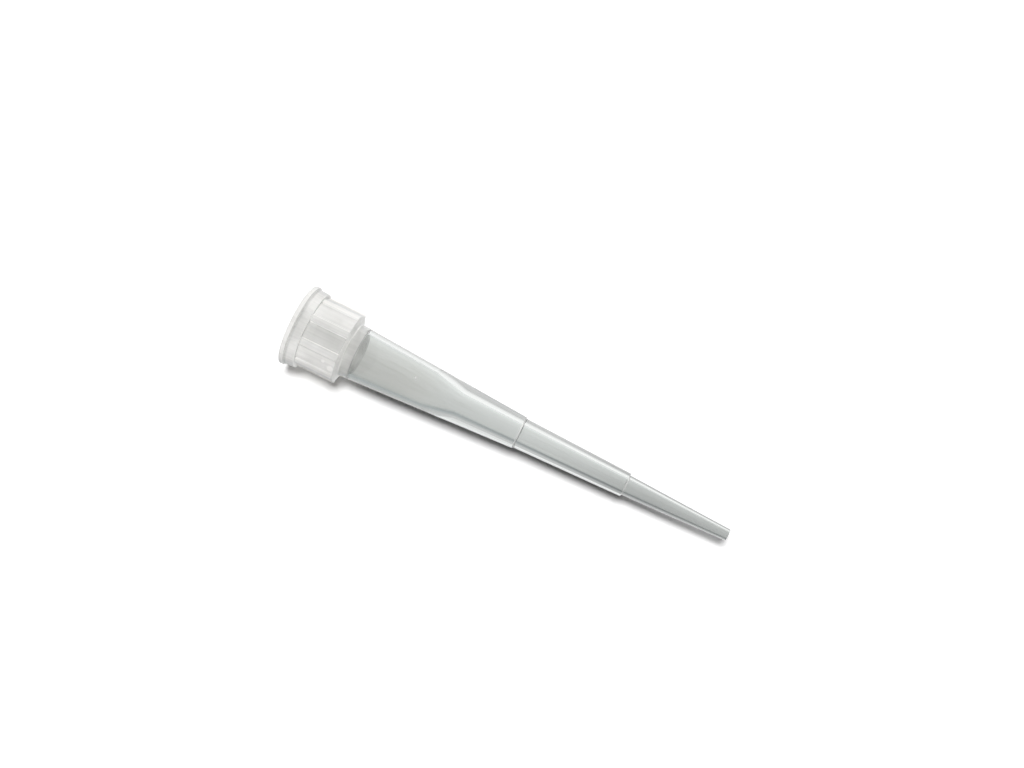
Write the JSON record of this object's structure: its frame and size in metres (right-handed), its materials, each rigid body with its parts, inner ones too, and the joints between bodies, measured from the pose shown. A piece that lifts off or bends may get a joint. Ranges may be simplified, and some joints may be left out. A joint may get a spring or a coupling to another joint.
{
  "type": "pipette tip",
  "caption": "Short translucent pipette tip: flanged mouth over a ribbed collar, hollow tapered body with stepped volume marks, and a fine open nozzle.",
  "frame": {"origin": "centre of the mouth rim, in the plane that the tip stands on", "axes": "+Z along the axis from the mouth to the nozzle; +X through the middle of one collar rib"},
  "size_m": [0.0056, 0.0056, 0.0315],
  "materials": {
    "natural_polypropylene": "natural translucent, slightly milky, smooth moulded surface"
  },
  "bodies": {
    "root": {"tip_body": "natural_polypropylene"}
  },
  "joints": []
}
